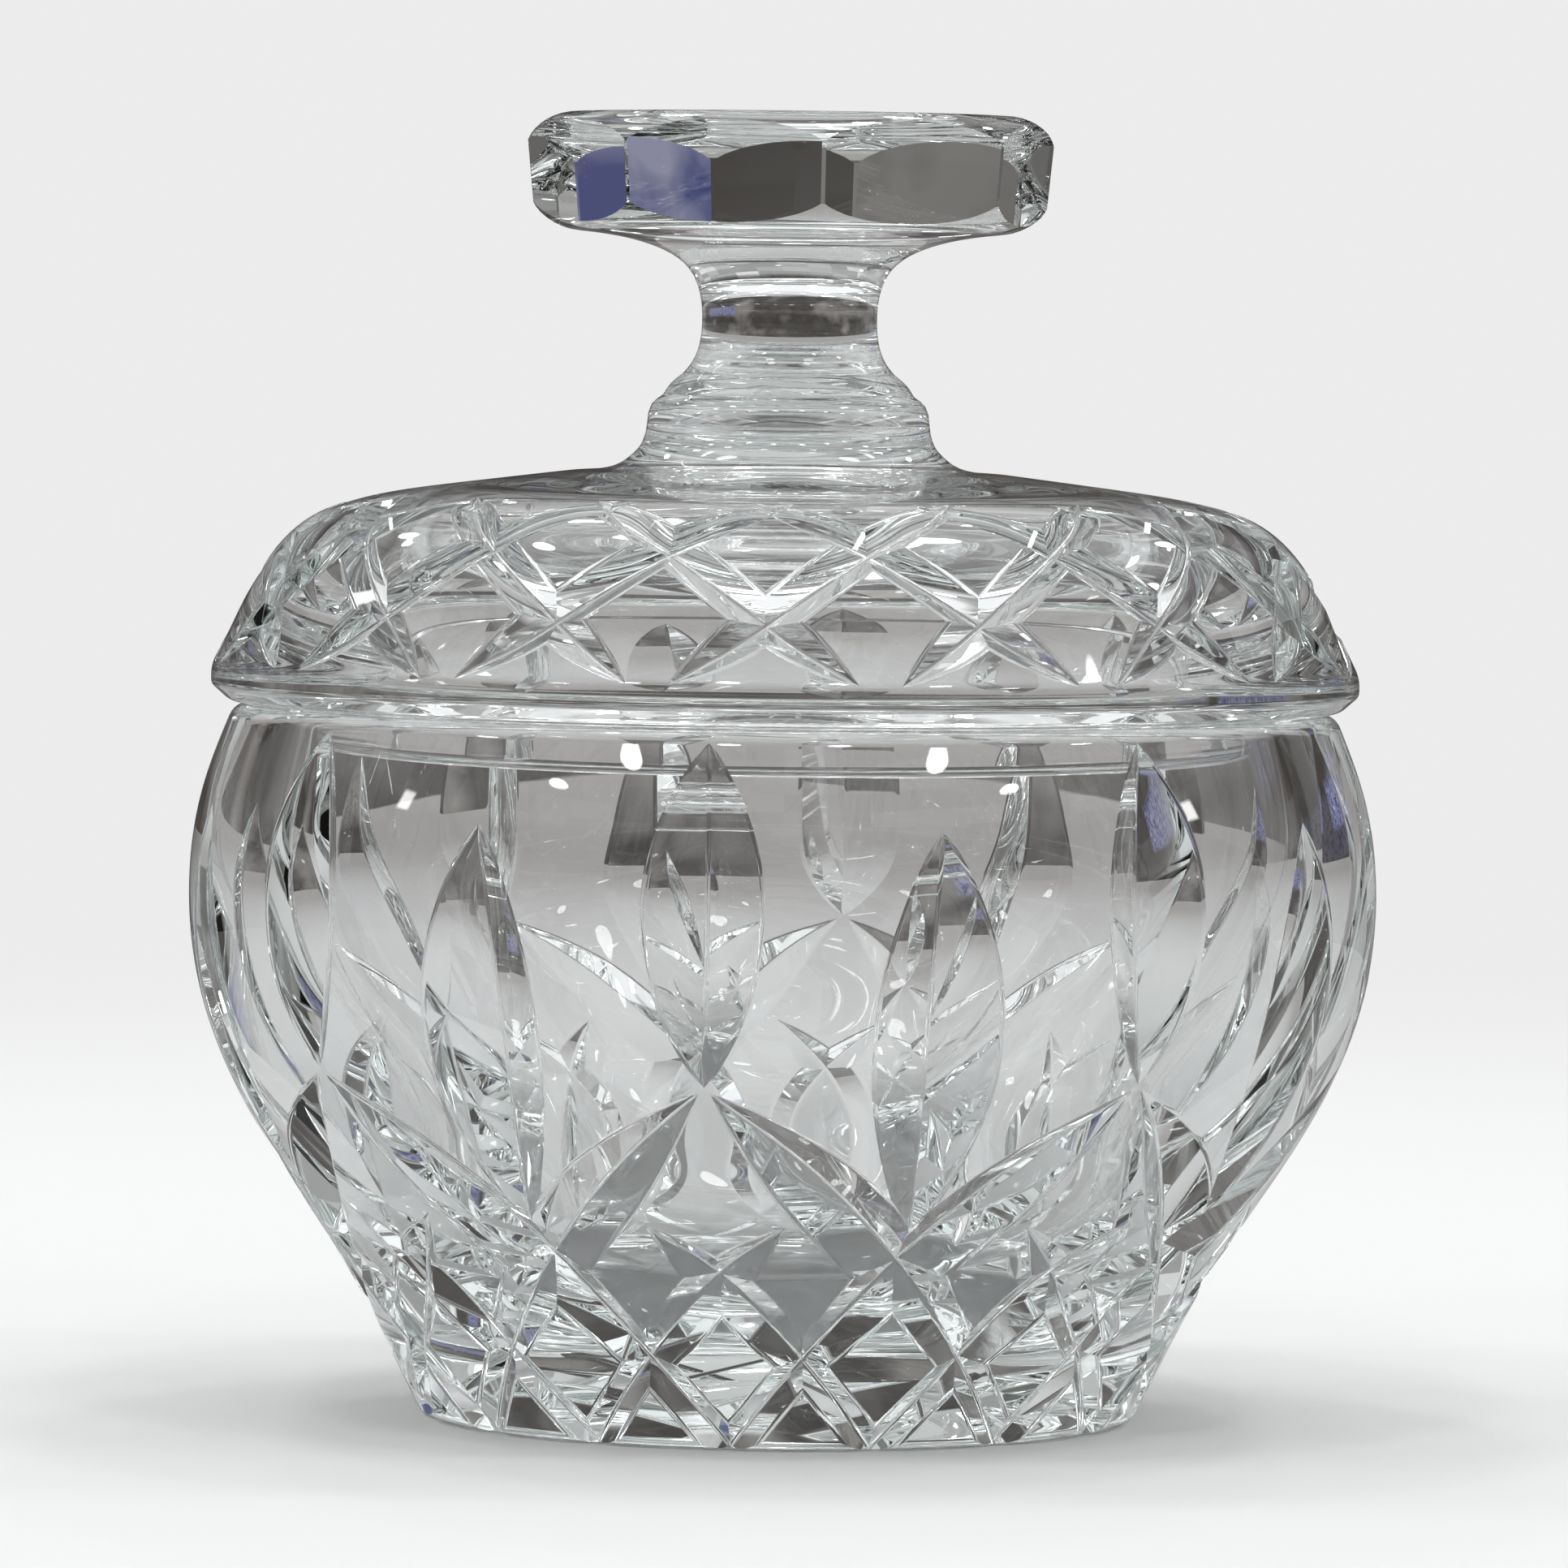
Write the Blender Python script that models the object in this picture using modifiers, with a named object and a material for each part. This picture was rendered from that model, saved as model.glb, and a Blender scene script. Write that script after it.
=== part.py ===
"""A cut-crystal powder jar: a squat footed bowl and a lift-off domed lid with an octagonal knob.

Metres, +Z up. The origin is the middle of the flat base, and the front is -Y. Angles round the
axis are in degrees from the front, positive towards +X.
"""
import math

import bmesh
import bpy
import numpy
from mathutils import Vector
from mathutils.geometry import interpolate_bezier

# Driving dimensions of the jar.
JAR_HEIGHT = 0.0745
FOOT_RADIUS = 0.0371
FOOT_ROUND = 0.0012
BELLY_RADIUS = 0.0625
BELLY_HEIGHT = 0.0560
MOUTH_RADIUS = 0.0505
RIM_ROUND = 0.0012
FLOOR_HEIGHT = 0.0135

# Driving dimensions of the lid.
SEAT_GAP = 0.0003
LID_RADIUS = 0.0604
LID_BASE = JAR_HEIGHT + SEAT_GAP
FLANGE_GAP = 0.0012
FLANGE_RADIUS = MOUTH_RADIUS - FLANGE_GAP
FLANGE_DEPTH = 0.0065
FLANGE_WALL = 0.0048
DOME_WALL = 0.0068
STEM_RADIUS = 0.0092
STEM_WAIST = 0.1150
KNOB_TOP = 0.1370
KNOB_BASE = 0.1245
KNOB_APOTHEM = 0.0255
KNOB_SIDES = 8
KNOB_RIM_CENTRE = 0.0222
KNOB_RIM_LEAN = 0.0005
KNOB_TAPER = 5.2

# The cut decoration: where each pattern stands round the axis, and its mitre grooves.
JAR_FOLD = 8
JAR_TURN = -7.4
LID_FOLD = 16
LID_TURN = 9.2
KNOB_TURN = 6.9
LONG_LEAF = (0.0732, 0.0386)
SHORT_LEAF = (0.0646, 0.0223)
CROSSING_HEIGHT = 0.0182
INNER_TIP_HEIGHT = 0.0245
INNER_TIP_TURN = 8.8
RUN_OUT_HEIGHT = -0.0020
RUN_OUT_TURN = 0.04
LATTICE_RIM = 0.0785
LATTICE_TOP_RADIUS = 0.0410
LATTICE_TIP_GAP = 1.4
LATTICE_SWEEP = 1.6
LONG_LEAF_BOW = 0.0007
SHORT_LEAF_BOW = -0.0004
LEAF_MITRE = 56.5
JAR_MITRE = 56.0
LID_MITRE = 53.0
MAIN_GROOVE_DEPTH = 0.0031
INNER_GROOVE_DEPTH = 0.0022
LID_GROOVE_DEPTH = 0.00195
# How much deeper the grooves that lean right are cut than those that lean left.
SECOND_PASS = 1.05
# How a groove deepens: the shares of its length where it is deepest from and to, where it has
# settled, and the share of the depth that it settles to.
MAIN_PLUNGE = (0.30, 0.36, 0.80, 0.50)
INNER_PLUNGE = (0.36, 0.36, 0.70, 0.65)
CUTTER_HEIGHT = 0.0080
PROUD = 0.0002

# Facets.
TURNED_STEPS = 48
SPAN_STEPS = 2
RIM_STEPS = 8
LEAF_STEPS = 3
GROOVE_STEPS = 5


def clear_scene():
    """Remove every object of the scene that this file runs in."""
    for leftover in list(bpy.data.objects):
        bpy.data.objects.remove(leftover, do_unlink=True)


def new_collection(name):
    collection = bpy.data.collections.new(name)
    bpy.context.scene.collection.children.link(collection)
    return collection


def smooth_curve(points, steps):
    """A curve through (radius, height) points, with so many straight steps in each span."""
    knots = [Vector((radius, 0, height)) for radius, height in points]
    knots = [2 * knots[0] - knots[1]] + knots + [2 * knots[-1] - knots[-2]]
    curve = []
    for before, start, end, after in zip(knots, knots[1:], knots[2:], knots[3:]):
        leave = start + (end - before) / 6
        arrive = end - (after - start) / 6
        curve += interpolate_bezier(start, leave, arrive, end, steps + 1)[:-1]
    curve.append(knots[-2])
    return [(point.x, point.z) for point in curve]


def arc(centre, radius, first, last, steps):
    """Points on a circle in the profile plane, between two angles from +X in degrees."""
    angles = [math.radians(first + (last - first) * step / steps) for step in range(steps + 1)]
    return [(centre[0] + radius * math.cos(a), centre[1] + radius * math.sin(a)) for a in angles]


def jar_side():
    """The jar's outer side, from just under the rim down to just above the foot."""
    points = [
        (0.0582, JAR_HEIGHT - RIM_ROUND),
        (0.0612, 0.0655),
        (BELLY_RADIUS, BELLY_HEIGHT),
        (0.0606, 0.0421),
        (0.0545, 0.0292),
        (0.0461, 0.0163),
        (FOOT_RADIUS + FOOT_ROUND, FOOT_ROUND),
    ]
    return smooth_curve(points, SPAN_STEPS)


def jar_profile():
    """The jar's half section: cavity floor, inner wall, rim, outer side and base."""
    cavity = [
        (0.0200, FLOOR_HEIGHT),
        (0.0315, 0.0200),
        (0.0428, 0.0330),
        (0.0495, 0.0430),
        (0.0529, 0.0516),
        (0.0539, 0.0590),
        (0.0520, 0.0695),
        (MOUTH_RADIUS, JAR_HEIGHT - RIM_ROUND),
    ]
    profile = [(0.0, FLOOR_HEIGHT)] + smooth_curve(cavity, SPAN_STEPS)
    inner_round = (MOUTH_RADIUS + RIM_ROUND, JAR_HEIGHT - RIM_ROUND)
    profile += arc(inner_round, RIM_ROUND, 180, 90, 2)[1:]
    side = jar_side()
    outer_round = (side[0][0] - RIM_ROUND, JAR_HEIGHT - RIM_ROUND)
    profile += arc(outer_round, RIM_ROUND, 90, 0, 2)[:-1] + side
    profile += arc((FOOT_RADIUS, FOOT_ROUND), FOOT_ROUND, 0, -90, 2)[1:]
    return profile + [(0.0, 0.0)]


def dome_side():
    """The lid's outer side, from the foot of the stem over the shoulder to the widest line."""
    points = [
        (0.0223, 0.0994),
        (0.0343, 0.0979),
        (0.0438, 0.0964),
        (0.0500, 0.0942),
        (0.0540, 0.0905),
        (0.0571, 0.0852),
        (LID_RADIUS, 0.0785),
    ]
    return smooth_curve(points, SPAN_STEPS)


def stem_side():
    """The stem's outer side, from under the knob over its waist and two rings to the dome."""
    waist = [
        (KNOB_RIM_CENTRE - KNOB_RIM_LEAN, KNOB_BASE),
        (0.0149, 0.1232),
        (0.0106, 0.1206),
        (STEM_RADIUS, STEM_WAIST),
        (0.0103, 0.1107),
    ]
    rings = [(0.0112, 0.1094), (0.0118, 0.1088), (0.0129, 0.1077), (0.0140, 0.1068)]
    foot = [(0.0150, 0.1034), (0.0156, 0.1017), (0.0172, 0.1003)]
    return smooth_curve(waist, SPAN_STEPS) + rings + foot


def knob_rim():
    """The full round rim of the knob's blank, a little wider above than below."""
    reach = (KNOB_TOP - KNOB_BASE) / 2
    middle = KNOB_BASE + reach
    rim = arc((KNOB_RIM_CENTRE, middle), reach, 90, -90, RIM_STEPS)
    return [(radius + KNOB_RIM_LEAN * (height - middle) / reach, height) for radius, height in rim]


def lid_profile():
    """The lid's half section: knob, stem, dome, seat, locating flange and hollow underside."""
    profile = knob_rim()[:-1] + stem_side() + dome_side()
    profile += [(LID_RADIUS, 0.0770), (0.0596, 0.0757), (0.0583, LID_BASE)]
    flange_foot = LID_BASE - FLANGE_DEPTH
    flange_inside = FLANGE_RADIUS - FLANGE_WALL
    profile += [(FLANGE_RADIUS, LID_BASE), (FLANGE_RADIUS, flange_foot + 0.0010)]
    profile += [(FLANGE_RADIUS - 0.0010, flange_foot), (flange_inside + 0.0010, flange_foot)]
    ceiling = dome_side()[0][1] - DOME_WALL
    underside = [
        (flange_inside, flange_foot + 0.0010),
        (flange_inside, 0.0800),
        (0.0425, 0.0865),
        (0.0370, 0.0900),
        (0.0240, ceiling - 0.0010),
    ]
    return [(0.0, KNOB_TOP)] + profile + smooth_curve(underside, 1) + [(0.0, ceiling)]


def turned(name, profile, collection):
    """A solid of revolution about Z from its half section."""
    mesh = bpy.data.meshes.new(name)
    vertices = [(radius, 0.0, height) for radius, height in profile]
    edges = [(index, index + 1) for index in range(len(profile) - 1)]
    mesh.from_pydata(vertices, edges, [])
    piece = bpy.data.objects.new(name, mesh)
    collection.objects.link(piece)
    screw = piece.modifiers.new("turn", "SCREW")
    screw.steps = TURNED_STEPS
    screw.render_steps = TURNED_STEPS
    screw.use_merge_vertices = True
    screw.merge_threshold = 0.00001
    return piece


def around(angle):
    """The outward direction at an angle from the front, and the direction of growing angle."""
    turn = math.radians(angle)
    outward = Vector((math.sin(turn), -math.cos(turn), 0))
    return outward, Vector((math.cos(turn), math.sin(turn), 0))


class Side:
    """A turned outer side, which gives the point and the normal at a distance along it."""

    def __init__(self, profile):
        self.profile = numpy.array(profile)
        spans = numpy.hypot(*numpy.diff(self.profile, axis=0).T)
        self.length = numpy.concatenate(([0.0], numpy.cumsum(spans)))

    def at_height(self, height):
        """The distance along the side at a height, past the last point in a straight line."""
        heights = self.profile[:, 1][::-1]
        along = float(numpy.interp(height, heights, self.length[::-1]))
        return along + max(0.0, heights[0] - height)

    def at_radius(self, radius):
        return float(numpy.interp(radius, self.profile[:, 0], self.length))

    def place(self, along):
        """The (radius, height) and the outward (radius, height) normal at a distance."""
        last = len(self.length) - 2
        span = int(numpy.clip(numpy.searchsorted(self.length, along) - 1, 0, last))
        start = self.profile[span]
        step = self.profile[span + 1] - start
        step = step / numpy.hypot(*step)
        return start + step * (along - self.length[span]), (-step[1], step[0])

    def point(self, angle, along):
        """The world point and outward normal at an angle and a distance."""
        (radius, height), (out, up) = self.place(along)
        outward = around(angle)[0]
        normal = (outward * out + Vector((0, 0, up))).normalized()
        return outward * radius + Vector((0, 0, height)), normal


def mitre_cutter(name, bottoms, normals, mitre, collection):
    """A V-edged cutter whose edge follows the bottoms and which opens along the normals."""
    mesh = bmesh.new()
    rings = []
    for index, (bottom, normal) in enumerate(zip(bottoms, normals)):
        ahead = bottoms[min(index + 1, len(bottoms) - 1)]
        behind = bottoms[max(index - 1, 0)]
        spread = CUTTER_HEIGHT * math.tan(math.radians(mitre))
        aside = (ahead - behind).cross(normal).normalized() * spread
        top = bottom + normal * CUTTER_HEIGHT
        rings.append([mesh.verts.new(corner) for corner in (bottom, top + aside, top - aside)])
    for ring, following in zip(rings, rings[1:]):
        for corner in range(3):
            other = (corner + 1) % 3
            mesh.faces.new((ring[corner], ring[other], following[other], following[corner]))
    mesh.faces.new(rings[0])
    mesh.faces.new(rings[-1][::-1])
    bmesh.ops.recalc_face_normals(mesh, faces=mesh.faces)
    data = bpy.data.meshes.new(name)
    mesh.to_mesh(data)
    mesh.free()
    cutter = bpy.data.objects.new(name, data)
    collection.objects.link(cutter)
    hide_cutter(cutter)


def hide_cutter(cutter):
    cutter.hide_render = True
    cutter.display_type = "WIRE"


def leaf_cutter(name, side, angle, ends, bow, collection):
    """An upright leaf: a nearly straight mitre cut between two heights on the bulging side."""
    (top, _), (bottom, _) = [side.place(side.at_height(height)) for height in ends]
    top = Vector((top[0] + PROUD, top[1]))
    bottom = Vector((bottom[0] + PROUD, bottom[1]))
    chord = bottom - top
    inward = Vector((chord.y, -chord.x)).normalized()
    outward = around(angle)[0]
    normal = -(outward * inward.x + Vector((0, 0, inward.y)))
    bottoms = []
    for step in range(LEAF_STEPS + 1):
        share = step / LEAF_STEPS
        place = top + chord * share + inward * bow * 4 * share * (1 - share)
        bottoms.append(outward * place.x + Vector((0, 0, place.y)))
    mitre_cutter(name, bottoms, [normal] * len(bottoms), LEAF_MITRE, collection)


def groove_cutter(name, side, path, depths, mitre, collection):
    """A mitre groove along (angle, distance) places, so deep at each of them."""
    places = [side.point(angle, along) for angle, along in path]
    bottoms = [point - normal * depth for (point, normal), depth in zip(places, depths)]
    mitre_cutter(name, bottoms, [normal for _, normal in places], mitre, collection)


def ramp(share, rise):
    """0 at the start, 1 from the rise on, rounded like the run-in of a cutting wheel."""
    return math.sin(math.pi / 2 * min(1.0, share / rise))


def plunge(share, rise, hold, settle, rest):
    """The cut of a flat wheel: 0 at the start, 1 from the rise to the hold, then down to the rest."""
    eased = min(1.0, max(0.0, (share - hold) / (settle - hold)))
    return ramp(share, rise) * (rest + (1 - rest) * (1 + math.cos(math.pi * eased)) / 2)


def jar_grooves(collection):
    """The leaves, and the crossing grooves that run from them down to the foot."""
    side = Side(jar_side())
    pitch = 360 / JAR_FOLD
    leaf_foot = side.at_height(LONG_LEAF[1])
    crossing = side.at_height(CROSSING_HEIGHT)
    inner_tip = side.at_height(INNER_TIP_HEIGHT)
    foot = side.at_height(RUN_OUT_HEIGHT)
    sag = crossing - (leaf_foot + foot) / 2
    shares = [step / GROOVE_STEPS for step in range(GROOVE_STEPS + 1)]
    for index in range(JAR_FOLD):
        middle = JAR_TURN + pitch * index
        leaf_cutter(f"long_leaf_{index}", side, middle, LONG_LEAF, LONG_LEAF_BOW, collection)
        between = middle + pitch / 2
        leaf_cutter(f"short_leaf_{index}", side, between, SHORT_LEAF, SHORT_LEAF_BOW, collection)
        for lean, hand, press in ((-1, "left", 1.0), (1, "right", SECOND_PASS)):
            main = []
            inner = []
            for share in shares:
                along = leaf_foot + (foot - leaf_foot) * share + sag * 4 * share * (1 - share)
                main.append((middle + lean * pitch * (1 + RUN_OUT_TURN) * share, along))
                along = inner_tip + (foot - inner_tip) * share
                turn = INNER_TIP_TURN * (1 - share) - pitch * (0.5 + RUN_OUT_TURN) * share
                inner.append((middle + lean * turn, along))
            grooves = (
                ("main_groove", main, MAIN_GROOVE_DEPTH * press, MAIN_PLUNGE),
                ("inner_groove", inner, INNER_GROOVE_DEPTH * press, INNER_PLUNGE),
            )
            for name, path, deepest, deepening in grooves:
                depths = [deepest * plunge(share, *deepening) - PROUD for share in shares]
                cutter = f"{name}_{hand}_{index}"
                groove_cutter(cutter, side, path, depths, JAR_MITRE, collection)


def lid_grooves(collection):
    """The lattice of the dome: grooves that lean both ways from the rim to the top."""
    side = Side(dome_side())
    pitch = 360 / LID_FOLD
    rim = side.at_height(LATTICE_RIM)
    top = side.at_radius(LATTICE_TOP_RADIUS)
    for index in range(LID_FOLD):
        for lean, hand, press in ((-1, "left", 1.0), (1, "right", SECOND_PASS)):
            path = []
            depths = []
            for step in range(GROOVE_STEPS + 1):
                share = step / GROOVE_STEPS
                turn = LATTICE_TIP_GAP + LATTICE_SWEEP * pitch * share
                angle = LID_TURN + pitch * index + lean * turn
                path.append((angle, rim + (top - rim) * share))
                depth = LID_GROOVE_DEPTH * press * ramp(min(share, 1 - share), 0.25)
                depths.append(depth - PROUD)
            name = f"lid_groove_{hand}_{index}"
            groove_cutter(name, side, path, depths, LID_MITRE, collection)


def knob_facets(collection):
    """Eight blocks that cut the round knob to an octagon, a little wider above than below."""
    block = 2 * KNOB_APOTHEM
    taper = math.radians(KNOB_TAPER)
    middle = Vector((0, 0, (KNOB_TOP + KNOB_BASE) / 2))
    for index in range(KNOB_SIDES):
        angle = KNOB_TURN + (index + 0.5) * 360 / KNOB_SIDES
        outward = around(angle)[0]
        away = outward * math.cos(taper) - Vector((0, 0, math.sin(taper)))
        bpy.ops.mesh.primitive_cube_add(size=1)
        cutter = bpy.context.object
        cutter.name = f"knob_facet_{index}"
        cutter.scale = (block, block / 2, 1.6 * (KNOB_TOP - KNOB_BASE))
        cutter.rotation_euler = (taper, 0, math.radians(angle))
        cutter.location = middle + outward * KNOB_APOTHEM + away * block / 4
        cutter.users_collection[0].objects.unlink(cutter)
        collection.objects.link(cutter)
        hide_cutter(cutter)


def cut(piece, cutters):
    """Cut the piece with all the cutters, keep the result and shade its round surfaces smooth."""
    boolean = piece.modifiers.new("cut", "BOOLEAN")
    boolean.operation = "DIFFERENCE"
    boolean.operand_type = "COLLECTION"
    boolean.collection = cutters
    boolean.solver = "EXACT"
    graph = bpy.context.evaluated_depsgraph_get()
    mesh = bpy.data.meshes.new_from_object(piece.evaluated_get(graph))
    piece.modifiers.clear()
    piece.data = mesh
    mesh.shade_smooth()
    mesh.set_sharp_from_angle(angle=math.radians(20))


def crystal(name, colour):
    """Clear polished lead crystal."""
    material = bpy.data.materials.new(name)
    material.use_nodes = True
    shader = material.node_tree.nodes["Principled BSDF"]
    shader.inputs["Base Color"].default_value = (*colour, 1.0)
    shader.inputs["Roughness"].default_value = 0.02
    shader.inputs["Metallic"].default_value = 0.0
    shader.inputs["IOR"].default_value = 1.54
    shader.inputs["Transmission Weight"].default_value = 1.0
    return material


def build():
    clear_scene()
    parts = new_collection("powder_jar")
    jar_cutters = new_collection("jar_cutters")
    lid_cutters = new_collection("lid_cutters")

    jar = turned("jar", jar_profile(), parts)
    jar_grooves(jar_cutters)
    cut(jar, jar_cutters)
    jar.data.materials.append(crystal("jar_crystal", (0.93, 0.95, 0.95)))

    lid = turned("lid", lid_profile(), parts)
    lid_grooves(lid_cutters)
    knob_facets(lid_cutters)
    cut(lid, lid_cutters)
    lid.data.materials.append(crystal("lid_crystal", (0.94, 0.96, 0.96)))


build()
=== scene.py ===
"""Looks of a cut-crystal powder jar: a squat bowl and a lift-off domed lid with an octagonal knob.

Both pieces are turned solids of clear glass with mitre cuts. +Z is up and the front is -Y. The
glass is worked out in millimetres and made in metres, and the stage is in metres. Angles round
the axis are in degrees from the front, positive towards +X.
"""
import math

import bpy
import numpy as np
from mathutils import Matrix, Vector


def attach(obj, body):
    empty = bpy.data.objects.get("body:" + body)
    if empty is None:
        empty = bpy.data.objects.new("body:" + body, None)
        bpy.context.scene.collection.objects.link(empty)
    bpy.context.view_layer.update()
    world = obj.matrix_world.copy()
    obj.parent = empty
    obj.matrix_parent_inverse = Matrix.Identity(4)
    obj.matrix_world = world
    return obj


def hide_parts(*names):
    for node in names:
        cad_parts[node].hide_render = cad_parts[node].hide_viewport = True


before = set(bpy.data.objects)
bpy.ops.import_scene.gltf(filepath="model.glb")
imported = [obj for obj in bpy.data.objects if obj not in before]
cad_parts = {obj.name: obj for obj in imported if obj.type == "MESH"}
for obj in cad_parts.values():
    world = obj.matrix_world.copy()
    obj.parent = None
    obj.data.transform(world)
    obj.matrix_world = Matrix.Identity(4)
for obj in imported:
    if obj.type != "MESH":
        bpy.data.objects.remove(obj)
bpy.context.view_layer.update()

MM = 0.001
DEGREES = 180 / math.pi

# The design, as in the CAD: heights and radii in millimetres, angles in degrees.
JAR_HEIGHT = 74.5
FOOT_RADIUS = 38.3
BELLY_RADIUS = 62.5
MOUTH_RADIUS = 50.5
FLOOR_HEIGHT = 13.5
LID_BASE = 74.8
LID_RADIUS = 60.4
FLANGE_RADIUS = 49.3
FLANGE_WALL = 4.8
FLANGE_FOOT = 68.3
KNOB_TOP = 137.0
KNOB_BASE = 124.5
KNOB_APOTHEM = 25.5
KNOB_SIDES = 8
KNOB_RIM_CENTRE = 22.2
KNOB_RIM_LEAN = 0.5
KNOB_TAPER = 5.2

# The cut decoration, as in the CAD.
JAR_FOLD = 8
JAR_TURN = -7.4
LID_FOLD = 16
LID_TURN = 9.2
KNOB_TURN = 6.9
LONG_LEAF = (73.2, 38.6)
LONG_LEAF_BOW = 0.7
SHORT_LEAF = (64.6, 22.3)
SHORT_LEAF_BOW = -0.4
CROSSING_HEIGHT = 18.2
INNER_TIP_HEIGHT = 24.5
INNER_TIP_TURN = 8.8
RUN_OUT_HEIGHT = -2.0
RUN_OUT_TURN = 0.04
LATTICE_RIM = 78.5
LATTICE_TOP_RADIUS = 41.0
LATTICE_TIP_GAP = 1.4
LATTICE_SWEEP = 1.6
LATTICE_RAMP = 0.25
LEAF_MITRE = 56.5
JAR_MITRE = 56.0
LID_MITRE = 53.0
MAIN_GROOVE_DEPTH = 3.1
INNER_GROOVE_DEPTH = 2.2
LID_GROOVE_DEPTH = 1.95
# How much deeper one groove of each mirrored pair is cut than the other.
SECOND_PASS = 1.05
# How a groove deepens: the shares of its length where it is deepest from and to, where it has
# settled, and the share of the depth that it settles to.
MAIN_PLUNGE = (0.30, 0.36, 0.80, 0.50)
INNER_PLUNGE = (0.36, 0.36, 0.70, 0.65)
PROUD = 0.2

# How the cutters are made: a leaf's edge runs on past its ends, and a groove has a rounded
# valley and rounded lips, both smaller where the groove is narrow. A lip ends just clear of the
# surface, and a little above the groove's flank where there is no depth left.
LEAF_OVERRUN = 0.08
CUTTER_HEIGHT = 8.0
CUTTER_FLARE = 1.0
NARROWEST = 0.05
SHALLOWEST = 0.001
LIP = 0.32
LIP_SHARE = 0.35
LIP_CLEAR = 0.02
LIP_RISE = 0.01
VALLEY = 0.30
VALLEY_SHARE = 0.4
VALLEY_RISE = 0.45
DOME_BULGE = 30.0
KNOB_BLOCK = 10.0
ARRIS_DEPTH = 0.09

# Fineness of the visible meshes.
TURN_STEPS = 480
RUN_STEP = 0.9
ROUND_STEPS = 6
ROUND_HANDLE = 0.62
RIM_STEPS = 24
CUT_STEPS = 28
SAME_POINT = 1e-6

# The glass.
CRYSTAL_IOR = 1.54
CRYSTAL_TINT = (0.80, 0.93, 0.90, 1.0)
CRYSTAL_ABSORPTION = 3.0

# The stage, in metres and linear colours. The camera sees the backdrop and the floor. The rest is
# what the glass bends into view: a table that ends behind the jar, a dim room and its ceiling.
BACKDROP = (0.84, 0.84, 0.84)
FLOOR_COLOUR = (0.73, 0.73, 0.73)
FLOOR_RADIUS = 4.0
FLOOR_DROP = 0.0002
TABLE_NEAR = (0.56, 0.565, 0.565)
TABLE_FAR = (0.36, 0.347, 0.34)
TABLE_REACH = 0.50
TABLE_EDGE = 0.01
# The distances over which the table darkens, and over which it and the floor turn from a lit
# surface near the jar to one that glows evenly.
TABLE_DARKENS = (0.14, 0.36)
TABLE_GLOWS = (0.05, 0.2)
FLOOR_GLOWS = (0.25, 0.8)
ROOM_DARK = (0.045, 0.040, 0.037)
ROOM_DIM = (0.085, 0.078, 0.072)
ROOM_PALE = (0.27, 0.255, 0.245)
SIDE_DIM = (0.13, 0.125, 0.12)
SIDE_PALE = (0.34, 0.335, 0.33)
WALL_DIM = (0.33, 0.33, 0.33)
WALL_PALE = (0.86, 0.86, 0.86)
VIOLET_DIM = (0.05, 0.06, 0.18)
VIOLET_PALE = (0.27, 0.27, 0.38)
CURTAIN_DIM = (0.12, 0.112, 0.108)
CURTAIN_PALE = (0.22, 0.21, 0.20)
CEILING = (1.0, 1.02, 1.03)
CEILING_LAMP = (22.0, 22.0, 22.0)
SIDE_LAMP = (14.0, 14.0, 14.0)

# Where the room's bands start, in degrees of rise or of turn. Turn 0 is behind the jar.
SIDE_TURN = 72
WALL_RISE = 22
LAMP_RISE = 32
CEILING_RISE = 44
WALL_CELL = (9.0, 5.0)
# Lamps for each ceiling height across and ahead, and a lamp's radius as a share of its cell.
LAMP_GRID = (2.1, 1.5)
LAMP_RADIUS = 0.11

CAMERA_PLACE = (0, -1.15, 0.1187)
CAMERA_AIM = (0, 0, 0.0665)
CAMERA_LENS = 250.8
CAMERA_ROLL = 0.69

# Enough bounces for light to cross both pieces of glass.
GLASS_BOUNCES = 24
GLOSSY_BOUNCES = 12


# ---------------------------------------------------------------- outlines

def spline(points):
    """A natural cubic spline through (radius, height) points, read about every RUN_STEP."""
    knots = np.array(points, float)
    spans = np.hypot(*np.diff(knots, axis=0).T)
    size = len(knots)
    system = np.eye(size)
    right = np.zeros((size, 2))
    slopes = np.diff(knots, axis=0) / spans[:, None]
    for row in range(1, size - 1):
        system[row, row - 1:row + 2] = (spans[row - 1], 2 * (spans[row - 1] + spans[row]), spans[row])
        right[row] = 6 * (slopes[row] - slopes[row - 1])
    bends = np.linalg.solve(system, right)
    curve = [knots[:1]]
    for row, span in enumerate(spans):
        count = max(1, round(span / RUN_STEP))
        t = (np.arange(count) + 1)[:, None] / count
        cubic = ((1 - t) ** 3 - (1 - t)) * bends[row] + (t ** 3 - t) * bends[row + 1]
        curve.append((1 - t) * knots[row] + t * knots[row + 1] + cubic * span * span / 6)
    return np.concatenate(curve)


def line(start, end):
    return np.array([start, end], float)


def cut_back(run, length, from_end):
    """The run without its last (or first) length, and the point and direction left there."""
    points = run[::-1] if from_end else run
    along = np.concatenate(([0], np.cumsum(np.hypot(*np.diff(points, axis=0).T))))
    just_under_half = 0.49 * along[-1]
    length = min(length, just_under_half)
    point = np.array([np.interp(length, along, points[:, axis]) for axis in (0, 1)])
    after = int(np.searchsorted(along, length, side="right"))
    kept = np.vstack((point, points[after:]))
    direction = kept[1] - kept[0]
    direction = direction / np.hypot(*direction)
    return (kept[::-1] if from_end else kept), point, direction


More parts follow.
